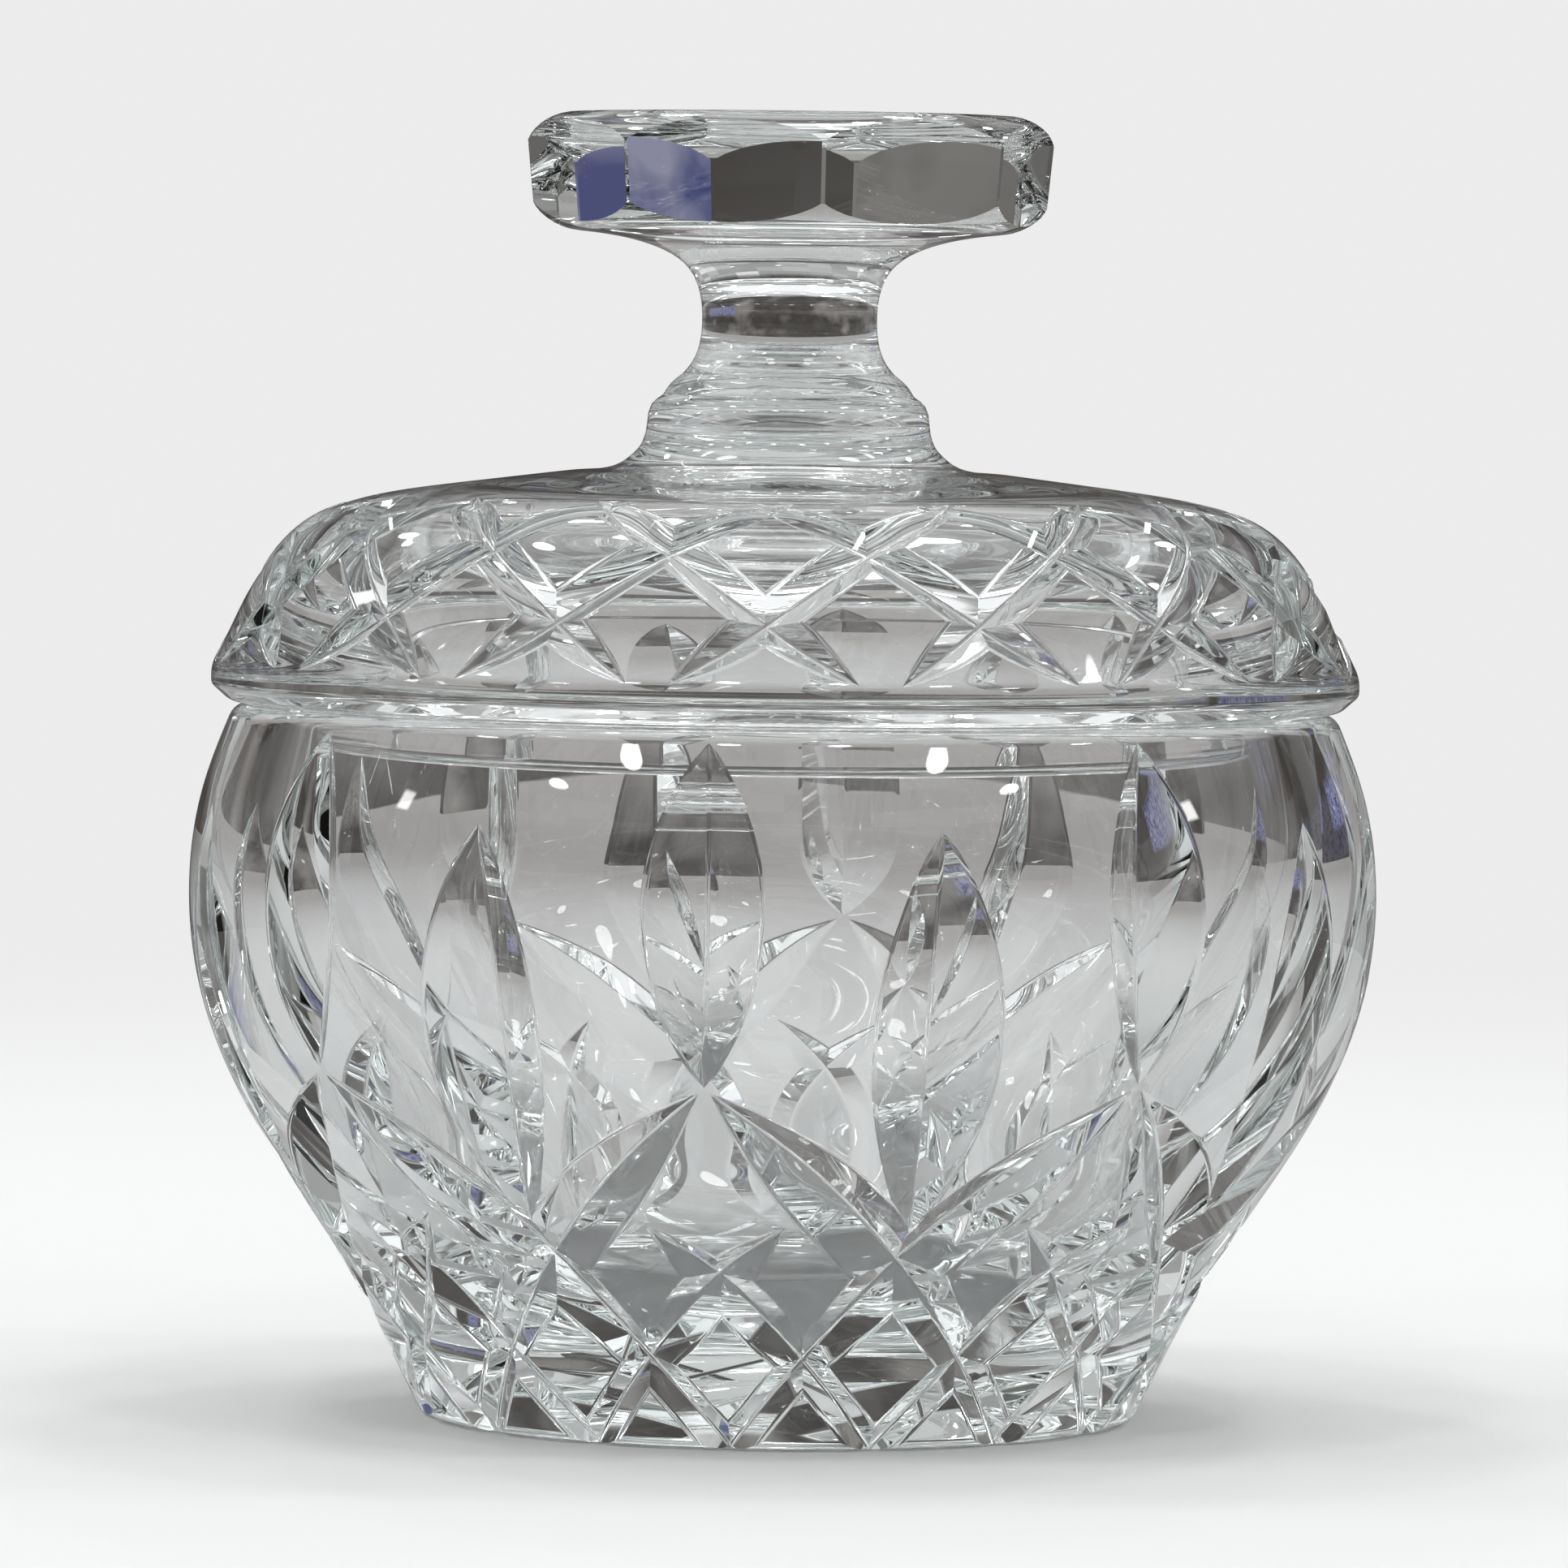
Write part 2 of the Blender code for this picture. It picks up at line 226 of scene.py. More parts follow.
def join(runs, rounds):
    """One outline of runs that meet end to end, each meeting rounded over its own length."""
    runs = list(runs)
    outline = []
    for index, length in enumerate(rounds):
        runs[index], start, back = cut_back(runs[index], length, True)
        runs[index + 1], end, ahead = cut_back(runs[index + 1], length, False)
        t = (np.arange(1, ROUND_STEPS))[:, None] / ROUND_STEPS
        handle = ROUND_HANDLE * length
        bridge = ((1 - t) ** 3 * start + 3 * (1 - t) ** 2 * t * (start - back * handle)
                  + 3 * (1 - t) * t ** 2 * (end - ahead * handle) + t ** 3 * end)
        outline += [runs[index], bridge]
    outline.append(runs[-1])
    whole = np.concatenate(outline)
    apart = np.hypot(*np.diff(whole, axis=0).T) > SAME_POINT
    return whole[np.concatenate(([True], apart))]


def jar_side():
    """The jar's outer side, from the rim down to the foot."""
    return spline([(57.9, JAR_HEIGHT), (61.2, 65.5), (BELLY_RADIUS, 56.0), (60.6, 42.1),
                   (54.5, 29.2), (46.1, 16.3), (FOOT_RADIUS - 0.6, 0.0)])


def jar_outline():
    """The jar's half section: cavity floor, inner wall, rim, outer side and base."""
    wall = spline([(20.0, FLOOR_HEIGHT), (31.5, 20.0), (42.8, 33.0), (49.5, 43.0), (52.9, 51.6),
                   (53.9, 59.0), (52.0, 69.5), (MOUTH_RADIUS, JAR_HEIGHT)])
    side = jar_side()
    floor = line((0, FLOOR_HEIGHT), wall[0])
    rim = line(wall[-1], side[0])
    base = line(side[-1], (0, 0))
    return join([floor, wall, rim, side, base], [6.0, 1.4, 1.4, 1.2])


def dome_side():
    """The lid's outer side, from the foot of the stem over the shoulder to the widest line."""
    return spline([(22.3, 99.4), (34.3, 97.9), (43.8, 96.4), (50.0, 94.2), (54.0, 90.5),
                   (57.1, 85.2), (LID_RADIUS, 78.5)])


def knob_rim():
    """The full round rim of the knob's blank, a little wider above than below."""
    swing = np.linspace(math.pi / 2, -math.pi / 2, RIM_STEPS + 1)
    middle = (KNOB_TOP + KNOB_BASE) / 2
    reach = (KNOB_TOP - KNOB_BASE) / 2
    radii = KNOB_RIM_CENTRE + KNOB_RIM_LEAN * np.sin(swing) + reach * np.cos(swing)
    return np.stack((radii, middle + reach * np.sin(swing)), axis=1)


def lid_outline():
    """The lid's half section: knob, stem, dome, seat, locating flange and hollow underside."""
    rim = knob_rim()
    top = line((0, KNOB_TOP), rim[0])
    waist = spline([rim[-1], (14.9, 123.2), (10.6, 120.6), (9.2, 115.0), (10.3, 110.7),
                    (11.2, 109.6)])
    upper_ring = spline([(11.2, 109.6), (12.4, 108.6), (13.2, 107.4)])
    lower_ring = spline([(13.2, 107.4), (14.4, 106.4), (15.0, 103.4), (15.6, 101.9)])
    foot = spline([(15.6, 101.9), (17.4, 100.3), (22.3, 99.4)])
    dome = dome_side()
    band = line(dome[-1], (LID_RADIUS, 76.6))
    chin = line(band[-1], (58.4, LID_BASE))
    seat = line(chin[-1], (FLANGE_RADIUS, LID_BASE))
    skirt = line(seat[-1], (FLANGE_RADIUS, FLANGE_FOOT))
    toe = line(skirt[-1], (FLANGE_RADIUS - FLANGE_WALL, FLANGE_FOOT))
    hollow = spline([toe[-1], (44.5, 80.0), (42.5, 86.5), (37.0, 90.0), (24.0, 91.6), (0.0, 92.6)])
    runs = [top, rim, waist, upper_ring, lower_ring, foot, dome, band, chin, seat, skirt,
            toe, hollow]
    rounds = [0.8, 1.5, 0.25, 0.25, 0.4, 1.0, 1.2, 1.0, 0.8, 0.4, 0.8, 0.8]
    return join(runs, rounds)


# ---------------------------------------------------------------- turned solids

def new_mesh(name, vertices, faces, normals):
    """A mesh in metres that also carries, for each face corner, the true surface normal."""
    mesh = bpy.data.meshes.new(name)
    mesh.from_pydata((np.array(vertices) * MM).tolist(), [], faces)
    facing = mesh.attributes.new("facing", "FLOAT_VECTOR", "CORNER")
    facing.data.foreach_set("vector", np.array(normals, np.float32).ravel())
    piece = bpy.data.objects.new(name, mesh)
    bpy.context.scene.collection.objects.link(piece)
    return piece


def turned(name, outline):
    """The solid of revolution of a half section that starts and ends on the axis."""
    tangent = np.gradient(outline, axis=0)
    tangent = tangent / np.hypot(*tangent.T)[:, None]
    inner = outline[1:-1]
    slopes = np.stack((-tangent[:, 1], tangent[:, 0]), axis=1)[1:-1]
    turns = np.arange(TURN_STEPS) * 2 * math.pi / TURN_STEPS
    cosines, sines = np.cos(turns)[None, :], np.sin(turns)[None, :]

    def spread(pairs):
        radii, heights = pairs[:, :1], pairs[:, 1:]
        rings = np.stack((radii * cosines, radii * sines, heights + 0 * cosines), axis=2)
        return rings.reshape(-1, 3)

    vertices = np.vstack((spread(inner), (0, 0, outline[0][1]), (0, 0, outline[-1][1])))
    facing = np.vstack((spread(slopes), (0, 0, 1.0), (0, 0, -1.0)))
    first, last = len(vertices) - 2, len(vertices) - 1
    step = np.arange(TURN_STEPS)
    ahead = (step + 1) % TURN_STEPS
    faces = []
    for row in range(len(inner) - 1):
        here, below = row * TURN_STEPS, (row + 1) * TURN_STEPS
        faces.append(np.stack((here + step, below + step, below + ahead, here + ahead), axis=1))
    quads = np.concatenate(faces).tolist()
    foot = (len(inner) - 1) * TURN_STEPS
    caps = np.stack((np.full(TURN_STEPS, first), step, ahead), axis=1).tolist()
    caps += np.stack((foot + step, np.full(TURN_STEPS, last), foot + ahead), axis=1).tolist()
    corners = [vertex for face in quads + caps for vertex in face]
    return new_mesh(name, vertices, quads + caps, facing[corners])


def around(angle):
    """The outward direction at an angle from the front."""
    turn = math.radians(angle)
    return np.array((math.sin(turn), -math.cos(turn), 0))


class Side:
    """A turned outer side, which gives the point and the normal at a distance along it."""

    def __init__(self, outline):
        self.outline = outline
        spans = np.hypot(*np.diff(outline, axis=0).T)
        self.length = np.concatenate(([0.0], np.cumsum(spans)))
        slope = np.gradient(outline, self.length, axis=0)
        self.slope = slope / np.hypot(*slope.T)[:, None]

    def at_height(self, height):
        """The distance along the side at a height, past the last point in a straight line."""
        heights = self.outline[:, 1][::-1]
        along = float(np.interp(height, heights, self.length[::-1]))
        return along + max(0.0, heights[0] - height)

    def at_radius(self, radius):
        return float(np.interp(radius, self.outline[:, 0], self.length))

    def radius(self, heights):
        return np.interp(heights, self.outline[::-1, 1], self.outline[::-1, 0])

    def place(self, along):
        """The (radius, height) and the direction down the side at a distance."""
        point = [np.interp(along, self.length, self.outline[:, axis]) for axis in (0, 1)]
        slope = [np.interp(along, self.length, self.slope[:, axis]) for axis in (0, 1)]
        past = max(0.0, along - self.length[-1])
        return np.array(point) + np.array(slope) * past, np.array(slope)

    def point(self, angle, along):
        """The point and outward normal at an angle and a distance."""
        (radius, height), (out, down) = self.place(along)
        outward = around(angle)
        normal = -down * outward + np.array((0, 0, out))
        return outward * radius + np.array((0, 0, height)), normal / np.linalg.norm(normal)


# ---------------------------------------------------------------- cutters

def unit(vectors):
    return vectors / np.linalg.norm(vectors, axis=-1, keepdims=True)


def mitre_cutter(name, bottoms, normals, depths, mitre, bulge):
    """A V-edged cutter along the bottoms, which opens along the normals.

    Where it leaves a surface of the given bulge radius, at its depth, it flares into a rounded lip.
    """
    bottoms = np.array(bottoms)
    normals = unit(np.array(normals))
    ahead = unit(np.gradient(bottoms, axis=0))
    aside = unit(np.cross(ahead, normals))
    rise = 1 / math.tan(math.radians(mitre))
    deep = np.maximum(np.array(depths), SHALLOWEST)
    edge = np.maximum(bulge * (np.sqrt(rise ** 2 + 2 * deep / bulge) - rise), NARROWEST)
    soft = np.minimum(LIP, LIP_SHARE * edge)
    valley = np.minimum(VALLEY, VALLEY_SHARE * edge)
    outer = edge + soft
    surface = deep - outer ** 2 / (2 * bulge)
    meets = np.maximum(surface + LIP_CLEAR, (edge - soft) * rise + LIP_RISE)
    half = [(valley, valley * rise), (edge - soft, (edge - soft) * rise), (outer, meets),
            (outer + CUTTER_FLARE, np.full(len(deep), CUTTER_HEIGHT))]
    steep = (-rise / math.hypot(1, rise), 1 / math.hypot(1, rise))
    leans = [steep, steep, (0.0, 1.0), (0.0, 1.0)]
    bed = (0 * valley, valley * rise * VALLEY_RISE)
    ring = [bed] + half + [(-out, high) for out, high in half[::-1]]
    lean = [(0.0, 1.0)] + leans + [(-out, high) for out, high in leans[::-1]]

    def place(out, high):
        return aside * np.reshape(out, (-1, 1)) + normals * np.reshape(high, (-1, 1))

    size = len(ring)
    vertices = np.stack([bottoms + place(*point) for point in ring], axis=1).reshape(-1, 3)
    facing = np.stack([place(*(np.full(len(deep), part) for part in pair)) for pair in lean], axis=1)
    facing = facing.reshape(-1, 3)
    faces = []
    for row in range(len(bottoms) - 1):
        for here in range(size):
            there = (here + 1) % size
            faces.append((row * size + here, (row + 1) * size + here,
                          (row + 1) * size + there, row * size + there))
    corners = [facing[vertex] for face in faces for vertex in face]
    last = (len(bottoms) - 1) * size
    faces += [tuple(range(size)), tuple(range(last + size - 1, last - 1, -1))]
    corners += [-ahead[0]] * size + [ahead[-1]] * size
    return new_mesh(name, vertices, faces, corners)


def leaf_cutter(name, side, angle, ends, bow):
    """An upright leaf: a nearly straight mitre cut between two heights on the bulging side."""
    (top, _), (bottom, _) = [side.place(side.at_height(height)) for height in ends]
    chord = bottom - top
    inward = unit(np.array((chord[1], -chord[0])))
    share = np.linspace(-LEAF_OVERRUN, 1 + LEAF_OVERRUN, CUT_STEPS + 1)[:, None]
    edge = top + chord * share + inward * bow * 4 * share * (1 - share)
    outward = around(angle)
    bottoms = edge[:, :1] * outward + edge[:, 1:] * np.array((0, 0, 1))
    normal = -(outward * inward[0] + np.array((0, 0, inward[1])))
    # The side curves away above each point of the edge, so its depth is closed in on in four steps.
    depths = np.zeros(len(edge))
    for _ in range(4):
        reached = edge[:, 1] - depths * inward[1]
        depths = (side.radius(reached) - edge[:, 0]) / -inward[0]
    return mitre_cutter(name, bottoms, [normal] * len(bottoms), depths, LEAF_MITRE, BELLY_RADIUS)


def groove_cutter(name, side, path, depths, mitre, bulge):
    """A mitre groove along (angle, distance) places, so deep at each of them."""
    places = [side.point(angle, along) for angle, along in path]
    bottoms = [point - normal * depth for (point, normal), depth in zip(places, depths)]
    return mitre_cutter(name, bottoms, [normal for _, normal in places], depths, mitre, bulge)


def ramp(share, rise):
    """0 at the start, 1 from the rise on, rounded like the run-in of a cutting wheel."""
    return math.sin(math.pi / 2 * min(1.0, share / rise))


def plunge(share, rise, hold, settle, rest):
    """The cut of a flat wheel: 0 at the start, 1 from the rise to the hold, then down to the rest."""
    eased = min(1.0, max(0.0, (share - hold) / (settle - hold)))
    return ramp(share, rise) * (rest + (1 - rest) * (1 + math.cos(math.pi * eased)) / 2)


def jar_cutters():
    """The leaves, and the crossing grooves that run from them down to the foot."""
    side = Side(jar_side())
    pitch = 360 / JAR_FOLD
    leaf_foot = side.at_height(LONG_LEAF[1])
    crossing = side.at_height(CROSSING_HEIGHT)
    inner_tip = side.at_height(INNER_TIP_HEIGHT)
    foot = side.at_height(RUN_OUT_HEIGHT)
    # The main grooves sag so that they cross their neighbours' at the crossing height.
    sag = crossing - (leaf_foot + foot) / 2
    shares = np.linspace(0, 1, CUT_STEPS + 1)
    cutters = []
    for index in range(JAR_FOLD):
        middle = JAR_TURN + pitch * index
        between = middle + pitch / 2
        cutters.append(leaf_cutter("long_leaf", side, middle, LONG_LEAF, LONG_LEAF_BOW))
        cutters.append(leaf_cutter("short_leaf", side, between, SHORT_LEAF, SHORT_LEAF_BOW))
        for lean, press in ((-1, 1.0), (1, SECOND_PASS)):
            main = []
            inner = []
            for share in shares:
                along = leaf_foot + (foot - leaf_foot) * share + sag * 4 * share * (1 - share)
                main.append((middle + lean * pitch * (1 + RUN_OUT_TURN) * share, along))
                along = inner_tip + (foot - inner_tip) * share
                turn = INNER_TIP_TURN * (1 - share) - pitch * (0.5 + RUN_OUT_TURN) * share
                inner.append((middle + lean * turn, along))
            grooves = (
                ("main_groove", main, MAIN_GROOVE_DEPTH * press, MAIN_PLUNGE),
                ("inner_groove", inner, INNER_GROOVE_DEPTH * press, INNER_PLUNGE),
            )
            for name, path, deepest, deepening in grooves:
                depths = [deepest * plunge(share, *deepening) - PROUD for share in shares]
                cutters.append(groove_cutter(name, side, path, depths, JAR_MITRE, BELLY_RADIUS))
    return cutters


def dome_cutters():
    """The lattice of the dome: grooves that lean both ways from the rim to the top."""
    side = Side(dome_side())
    pitch = 360 / LID_FOLD
    rim = side.at_height(LATTICE_RIM)
    top = side.at_radius(LATTICE_TOP_RADIUS)
    cutters = []
    for index in range(LID_FOLD):
        for lean, press in ((-1, 1.0), (1, SECOND_PASS)):
            path = []
            depths = []
            for share in np.linspace(0, 1, CUT_STEPS + 1):
                turn = LATTICE_TIP_GAP + LATTICE_SWEEP * pitch * share
                path.append((LID_TURN + pitch * index + lean * turn, rim + (top - rim) * share))
                depth = LID_GROOVE_DEPTH * press * ramp(min(share, 1 - share), LATTICE_RAMP)
                depths.append(depth - PROUD)
            cutters.append(groove_cutter("lid_groove", side, path, depths, LID_MITRE, DOME_BULGE))
    return cutters


def knob_cutters():
    """The eight flats of the knob, and the fine flat that breaks each edge between them."""
    half = math.pi / KNOB_SIDES
    taper = math.radians(KNOB_TAPER)
    arris_taper = math.atan(math.tan(taper) / math.cos(half))
    arris_reach = KNOB_APOTHEM / math.cos(half) - ARRIS_DEPTH
    cutters = []
    for index in range(KNOB_SIDES):
        turn = KNOB_TURN + index * 360 / KNOB_SIDES
        cutters.append(knob_facet(turn + 180 / KNOB_SIDES, KNOB_APOTHEM, taper))
        cutters.append(knob_facet(turn, arris_reach, arris_taper))
    return cutters


def knob_facet(turn, apothem, taper):
    """A block that cuts one flat on the round knob."""
    outward = around(turn)
    along = np.array((-outward[1], outward[0], 0))
    up = outward * math.sin(taper) + np.array((0, 0, math.cos(taper)))
    away = outward * math.cos(taper) - np.array((0, 0, math.sin(taper)))
    middle = outward * apothem + np.array((0, 0, (KNOB_TOP + KNOB_BASE) / 2))
    corners = []
    for far in (0, 1):
        for aside, height in ((-1, -1), (1, -1), (1, 1), (-1, 1)):
            corners.append(middle + KNOB_BLOCK * (away * far + along * aside * 2 + up * height))
    faces = [(0, 3, 2, 1), (4, 5, 6, 7), (0, 1, 5, 4), (1, 2, 6, 5), (2, 3, 7, 6), (3, 0, 4, 7)]
    normals = np.repeat([-away, away, -up, along, up, -along], 4, axis=0)
    return new_mesh("knob_facet", corners, faces, normals)


def cut(piece, cutters):
    """Cut the piece with all the cutters and shade the result by its true normals."""
    tools = bpy.data.collections.new("cutters")
    for cutter in cutters:
        bpy.context.scene.collection.objects.unlink(cutter)
        tools.objects.link(cutter)
    boolean = piece.modifiers.new("cut", "BOOLEAN")
    boolean.operation = "DIFFERENCE"
    boolean.operand_type = "COLLECTION"
    boolean.collection = tools
    boolean.solver = "MANIFOLD"
    graph = bpy.context.evaluated_depsgraph_get()
    mesh = bpy.data.meshes.new_from_object(piece.evaluated_get(graph))
    piece.modifiers.clear()
    piece.data = mesh
    for cutter in cutters:
        bpy.data.objects.remove(cutter)
    bpy.data.collections.remove(tools)
    shade_by_facing(mesh)


def shade_by_facing(mesh):
    """Turn each corner's kept normal to its face's outer side, and shade the mesh by them."""
    facing = np.zeros(len(mesh.loops) * 3, np.float32)
    mesh.attributes["facing"].data.foreach_get("vector", facing)
    facing = unit(facing.reshape(-1, 3))
    flat = np.zeros(len(mesh.polygons) * 3, np.float32)
    mesh.polygons.foreach_get("normal", flat)
    sizes = np.zeros(len(mesh.polygons), np.int32)
    mesh.polygons.foreach_get("loop_total", sizes)
    flat = np.repeat(flat.reshape(-1, 3), sizes, axis=0)
    facing *= np.sign((facing * flat).sum(axis=1, keepdims=True))
    mesh.attributes.remove(mesh.attributes["facing"])
    mesh.shade_smooth()
    mesh.normals_split_custom_set(facing.tolist())


# ---------------------------------------------------------------- material

def crystal(name):
    """Clear polished lead crystal."""
    material = bpy.data.materials.new(name)
    material.use_nodes = True
    nodes = material.node_tree.nodes
    shader = nodes["Principled BSDF"]
    shader.inputs["Base Color"].default_value = (1.0, 1.0, 1.0, 1.0)
    shader.inputs["Roughness"].default_value = 0.0
    shader.inputs["IOR"].default_value = CRYSTAL_IOR
    shader.inputs["Transmission Weight"].default_value = 1.0
    absorb = nodes.new("ShaderNodeVolumeAbsorption")
    absorb.inputs["Color"].default_value = CRYSTAL_TINT
    absorb.inputs["Density"].default_value = CRYSTAL_ABSORPTION
    material.node_tree.links.new(absorb.outputs[0], nodes["Material Output"].inputs["Volume"])
    return material


# ---------------------------------------------------------------- stage, light and camera

class Nodes:
    """Adds nodes to a node tree. Values are numbers, colours as tuples, or other nodes' outputs."""

    def __init__(self, tree):
        self.tree = tree

    def new(self, kind, **settings):
        node = self.tree.nodes.new("ShaderNode" + kind)
        for name, value in settings.items():
            setattr(node, name, value)
        return node

    def feed(self, socket, value):
        if isinstance(value, bpy.types.NodeSocket):
            self.tree.links.new(value, socket)
        elif isinstance(value, tuple):
            socket.default_value = (*value, 1.0)
        else:
            socket.default_value = value

    def math(self, operation, *values):
        node = self.new("Math", operation=operation)
        for socket, value in zip(node.inputs, values):
            self.feed(socket, value)
        return node.outputs[0]

    def clamp(self, value):
        node = self.new("Clamp")
        self.feed(node.inputs[0], value)
        return node.outputs[0]

    def above(self, value, start, soft):
        """0 below the start and 1 above it, with a soft step."""
        return self.clamp(self.math("DIVIDE", self.math("SUBTRACT", value, start - soft), 2 * soft))

    def below(self, value, end, soft):
        """1 below the end and 0 above it, with a soft step."""
        return self.clamp(self.math("DIVIDE", self.math("SUBTRACT", end + soft, value), 2 * soft))

    def between(self, value, start, end, soft):
        """1 between two values and 0 outside them, with soft steps."""
        return self.math("MINIMUM", self.above(value, start, soft), self.below(value, end, soft))

    def mix(self, share, low, high):
        """The low colour or value at a share of 0, the high one at 1."""
        node = self.new("Mix", data_type="RGBA")
        for socket, value in ((node.inputs[0], share), (node.inputs[6], low), (node.inputs[7], high)):
            self.feed(socket, value)
        return node.outputs[2]

    def mix_shaders(self, share, low, high):
        node = self.new("MixShader")
        for socket, value in zip(node.inputs, (share, low, high)):
            self.feed(socket, value)
        return node.outputs[0]

    def noise(self, where, scale, detail, start, soft):
        """Soft-edged patches of 1 on 0, where a noise lies above the start."""
        node = self.new("TexNoise")
        self.feed(node.inputs["Vector"], where)
        self.feed(node.inputs["Scale"], scale)
        self.feed(node.inputs["Detail"], detail)
        return self.above(node.outputs[0], start, soft)

    def smooth_step(self, value, start, end):
        """0 up to the start, 1 from the end on, and smooth between."""
        node = self.new("MapRange", interpolation_type="SMOOTHSTEP")
        self.feed(node.inputs["From Min"], start)
        self.feed(node.inputs["From Max"], end)
        self.feed(node.inputs["Value"], value)
        return node.outputs[0]

    def camera_ray(self):
        return self.new("LightPath").outputs["Is Camera Ray"]


def studio():
    """A plain backdrop to the camera, and to the glass a dim room with a bright ceiling."""
    world = bpy.data.worlds.new("studio")
    bpy.context.scene.world = world
    world.use_nodes = True
    world.node_tree.nodes.clear()
    kit = Nodes(world.node_tree)
    where = kit.new("TexCoord").outputs["Generated"]
    split = kit.new("SeparateXYZ")
    kit.feed(split.inputs[0], where)
    across, ahead, up = split.outputs
    rise = kit.math("MULTIPLY", kit.math("ARCSINE", up), DEGREES)
    turn = kit.math("MULTIPLY", kit.math("ARCTAN2", across, ahead), DEGREES)

    streak = kit.noise(where, scale=90.0, detail=3.0, start=0.50, soft=0.10)
    violet = kit.mix(streak, VIOLET_DIM, VIOLET_PALE)
    curtain = kit.mix(streak, CURTAIN_DIM, CURTAIN_PALE)
    lower = room(kit, where, turn)
    upper = wall(kit, turn, rise)
    colour = kit.mix(kit.above(rise, WALL_RISE, soft=1.5), lower, upper)
    colour = kit.mix(kit.above(rise, CEILING_RISE, soft=2.0), colour, CEILING)
    colour = kit.mix(ceiling_lamps(kit, across, ahead, up, rise), colour, CEILING_LAMP)
    patches = [
        # lowest and highest turn, lowest and highest rise, softness of the edge, colour
        (29, 60, 2, 9.5, 0.6, violet),
        (-64, -27, 2, 9.5, 2.0, curtain),
        (-98, -95, 20, 24, 0.4, SIDE_LAMP),
        (88, 91, 18, 22, 0.4, SIDE_LAMP),
    ]
    for left, right, bottom, top, soft, tint in patches:
        wide = kit.between(turn, left, right, soft)
        high = kit.between(rise, bottom, top, soft)
        colour = kit.mix(kit.math("MULTIPLY", wide, high), colour, tint)
    background = kit.new("Background")
    kit.feed(background.inputs["Color"], kit.mix(kit.camera_ray(), colour, BACKDROP))
    kit.feed(kit.new("OutputWorld").inputs["Surface"], background.outputs[0])


def room(kit, where, turn):
    """The room's lower part: clouded and dark, a little paler at the sides."""
    gloom = kit.noise(where, scale=3.2, detail=3.0, start=0.60, soft=0.10)
    cloud = kit.noise(where, scale=14.0, detail=4.0, start=0.62, soft=0.22)
    behind = kit.mix(gloom, kit.mix(cloud, ROOM_DARK, ROOM_DIM), ROOM_PALE)
    beside = kit.above(kit.math("ABSOLUTE", turn), SIDE_TURN, soft=10.0)
    return kit.mix(beside, behind, kit.mix(gloom, SIDE_DIM, SIDE_PALE))


def wall(kit, turn, rise):
    """A band of plain cells, each with a grey of its own."""
    cells = kit.new("CombineXYZ")
    for socket, value, size in zip(cells.inputs, (turn, rise), WALL_CELL):
        kit.feed(socket, kit.math("FLOOR", kit.math("DIVIDE", value, size)))
    chance = kit.new("TexWhiteNoise", noise_dimensions="2D")
    kit.feed(chance.inputs[0], cells.outputs[0])
    return kit.mix(kit.math("POWER", chance.outputs["Value"], 2.0), WALL_DIM, WALL_PALE)


def ceiling_lamps(kit, across, ahead, up, rise):
    """1 in the small round lamps of a flat ceiling, 0 between them."""
    just_above_level = 0.1
    ceiling = kit.math("MAXIMUM", up, just_above_level)
    squares = []
    for value, count in zip((across, ahead), LAMP_GRID):
        place = kit.math("MULTIPLY", kit.math("DIVIDE", value, ceiling), count)
        offset = kit.math("SUBTRACT", kit.math("FRACT", place), 0.5)
        squares.append(kit.math("MULTIPLY", offset, offset))
    apart = kit.math("SQRT", kit.math("ADD", *squares))
    inside = kit.below(apart, LAMP_RADIUS, soft=0.01)
    return kit.math("MULTIPLY", inside, kit.above(rise, LAMP_RISE, soft=0.5))


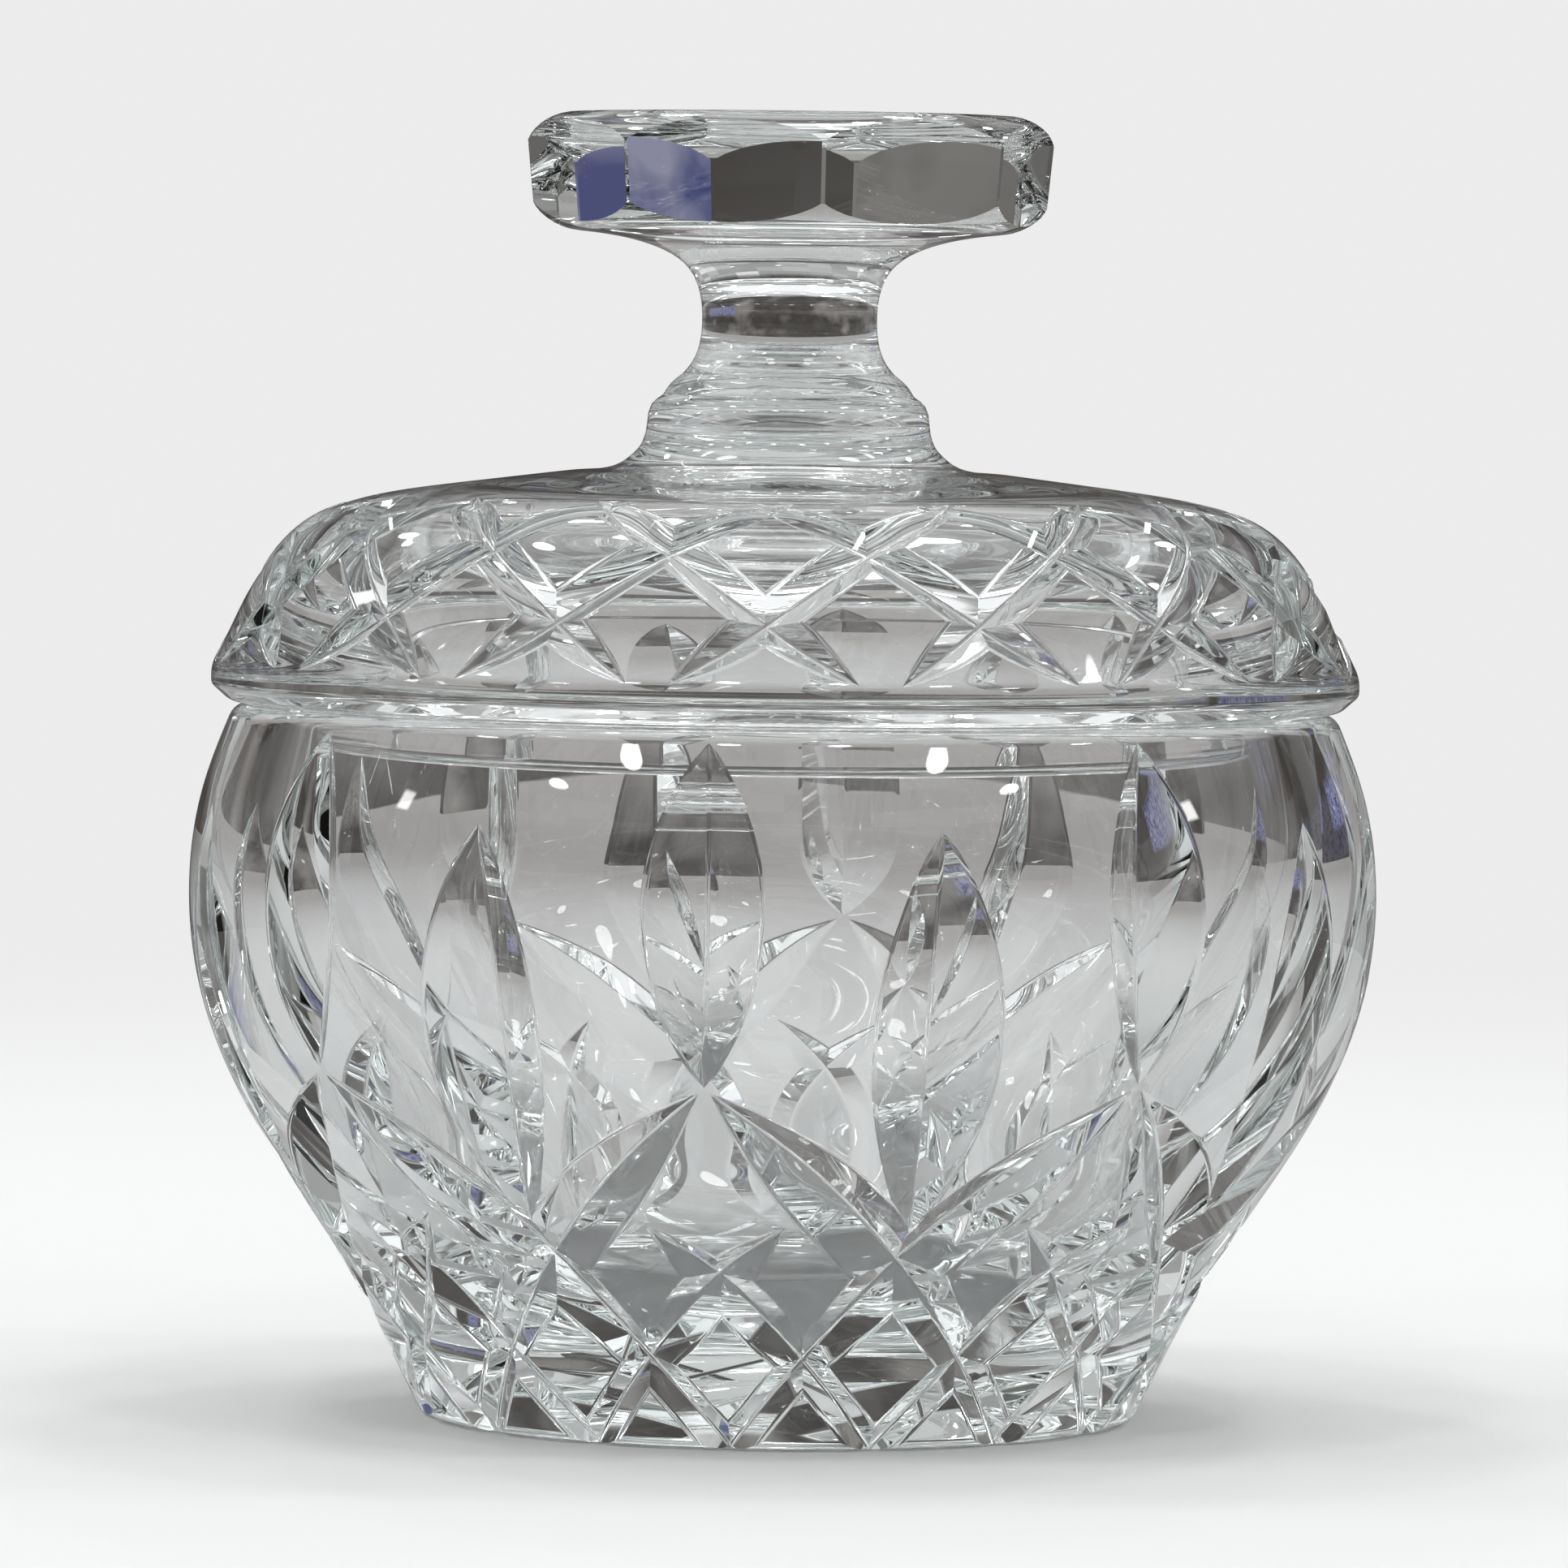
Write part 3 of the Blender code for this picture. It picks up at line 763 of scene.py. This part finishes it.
def floor():
    """A pale matt floor that fades into the backdrop. The glass shows it as a smaller table."""
    bpy.ops.mesh.primitive_circle_add(vertices=128, radius=FLOOR_RADIUS, fill_type="NGON",
                                      location=(0, 0, -FLOOR_DROP))
    ground = bpy.context.object
    ground.name = "floor"
    material = bpy.data.materials.new("floor")
    material.use_nodes = True
    kit = Nodes(material.node_tree)
    length = kit.new("VectorMath", operation="LENGTH")
    kit.feed(length.inputs[0], kit.new("TexCoord").outputs["Object"])
    distance = length.outputs["Value"]
    seen = kit.camera_ray()
    table = kit.mix(kit.smooth_step(distance, *TABLE_DARKENS), TABLE_NEAR, TABLE_FAR)

    matt = material.node_tree.nodes["Principled BSDF"]
    matt.inputs["Roughness"].default_value = 0.9
    matt.inputs["Specular IOR Level"].default_value = 0.0
    kit.feed(matt.inputs["Base Color"], kit.mix(seen, table, FLOOR_COLOUR))
    glow = kit.new("Emission")
    kit.feed(glow.inputs["Color"], kit.mix(seen, table, BACKDROP))
    table_glow = kit.smooth_step(distance, *TABLE_GLOWS)
    floor_glow = kit.smooth_step(distance, *FLOOR_GLOWS)
    glowing = kit.mix(seen, table_glow, floor_glow)
    surface = kit.mix_shaders(glowing, matt.outputs[0], glow.outputs[0])
    edge = kit.smooth_step(distance, TABLE_REACH, TABLE_REACH + TABLE_EDGE)
    past_edge = kit.mix(seen, edge, (0.0, 0.0, 0.0))
    surface = kit.mix_shaders(past_edge, surface, kit.new("BsdfTransparent").outputs[0])
    kit.feed(material.node_tree.nodes["Material Output"].inputs["Surface"], surface)
    ground.data.materials.append(material)


def camera():
    """A long lens a little above the lid's rim."""
    data = bpy.data.cameras.new("camera")
    data.sensor_width = 36.0
    data.lens = CAMERA_LENS
    data.clip_end = 20.0
    piece = bpy.data.objects.new("camera", data)
    bpy.context.scene.collection.objects.link(piece)
    piece.location = CAMERA_PLACE
    look = (Vector(CAMERA_AIM) - piece.location).to_track_quat("-Z", "Y").to_matrix().to_4x4()
    roll = Matrix.Rotation(math.radians(CAMERA_ROLL), 4, "Z")
    piece.matrix_world = Matrix.Translation(piece.location) @ look @ roll
    bpy.context.scene.camera = piece


def light_paths():
    """Light that passes through the glass and back, and plain colours."""
    scene = bpy.context.scene
    scene.view_settings.view_transform = "Standard"
    scene.cycles.max_bounces = GLASS_BOUNCES
    scene.cycles.transmission_bounces = GLASS_BOUNCES
    scene.cycles.glossy_bounces = GLOSSY_BOUNCES
    scene.cycles.caustics_reflective = True
    scene.cycles.caustics_refractive = True


def glass_piece(node, outline, cutters):
    """The cut piece that stands for a CAD node and rides on its body, which has the same name."""
    piece = turned("cut_" + node, outline)
    cut(piece, cutters)
    piece.data.materials.clear()
    piece.data.materials.append(crystal(node + "_crystal"))
    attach(piece, node)
    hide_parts(node)


glass_piece("jar", jar_outline(), jar_cutters())
glass_piece("lid", lid_outline(), dome_cutters() + knob_cutters())
studio()
floor()
camera()
light_paths()
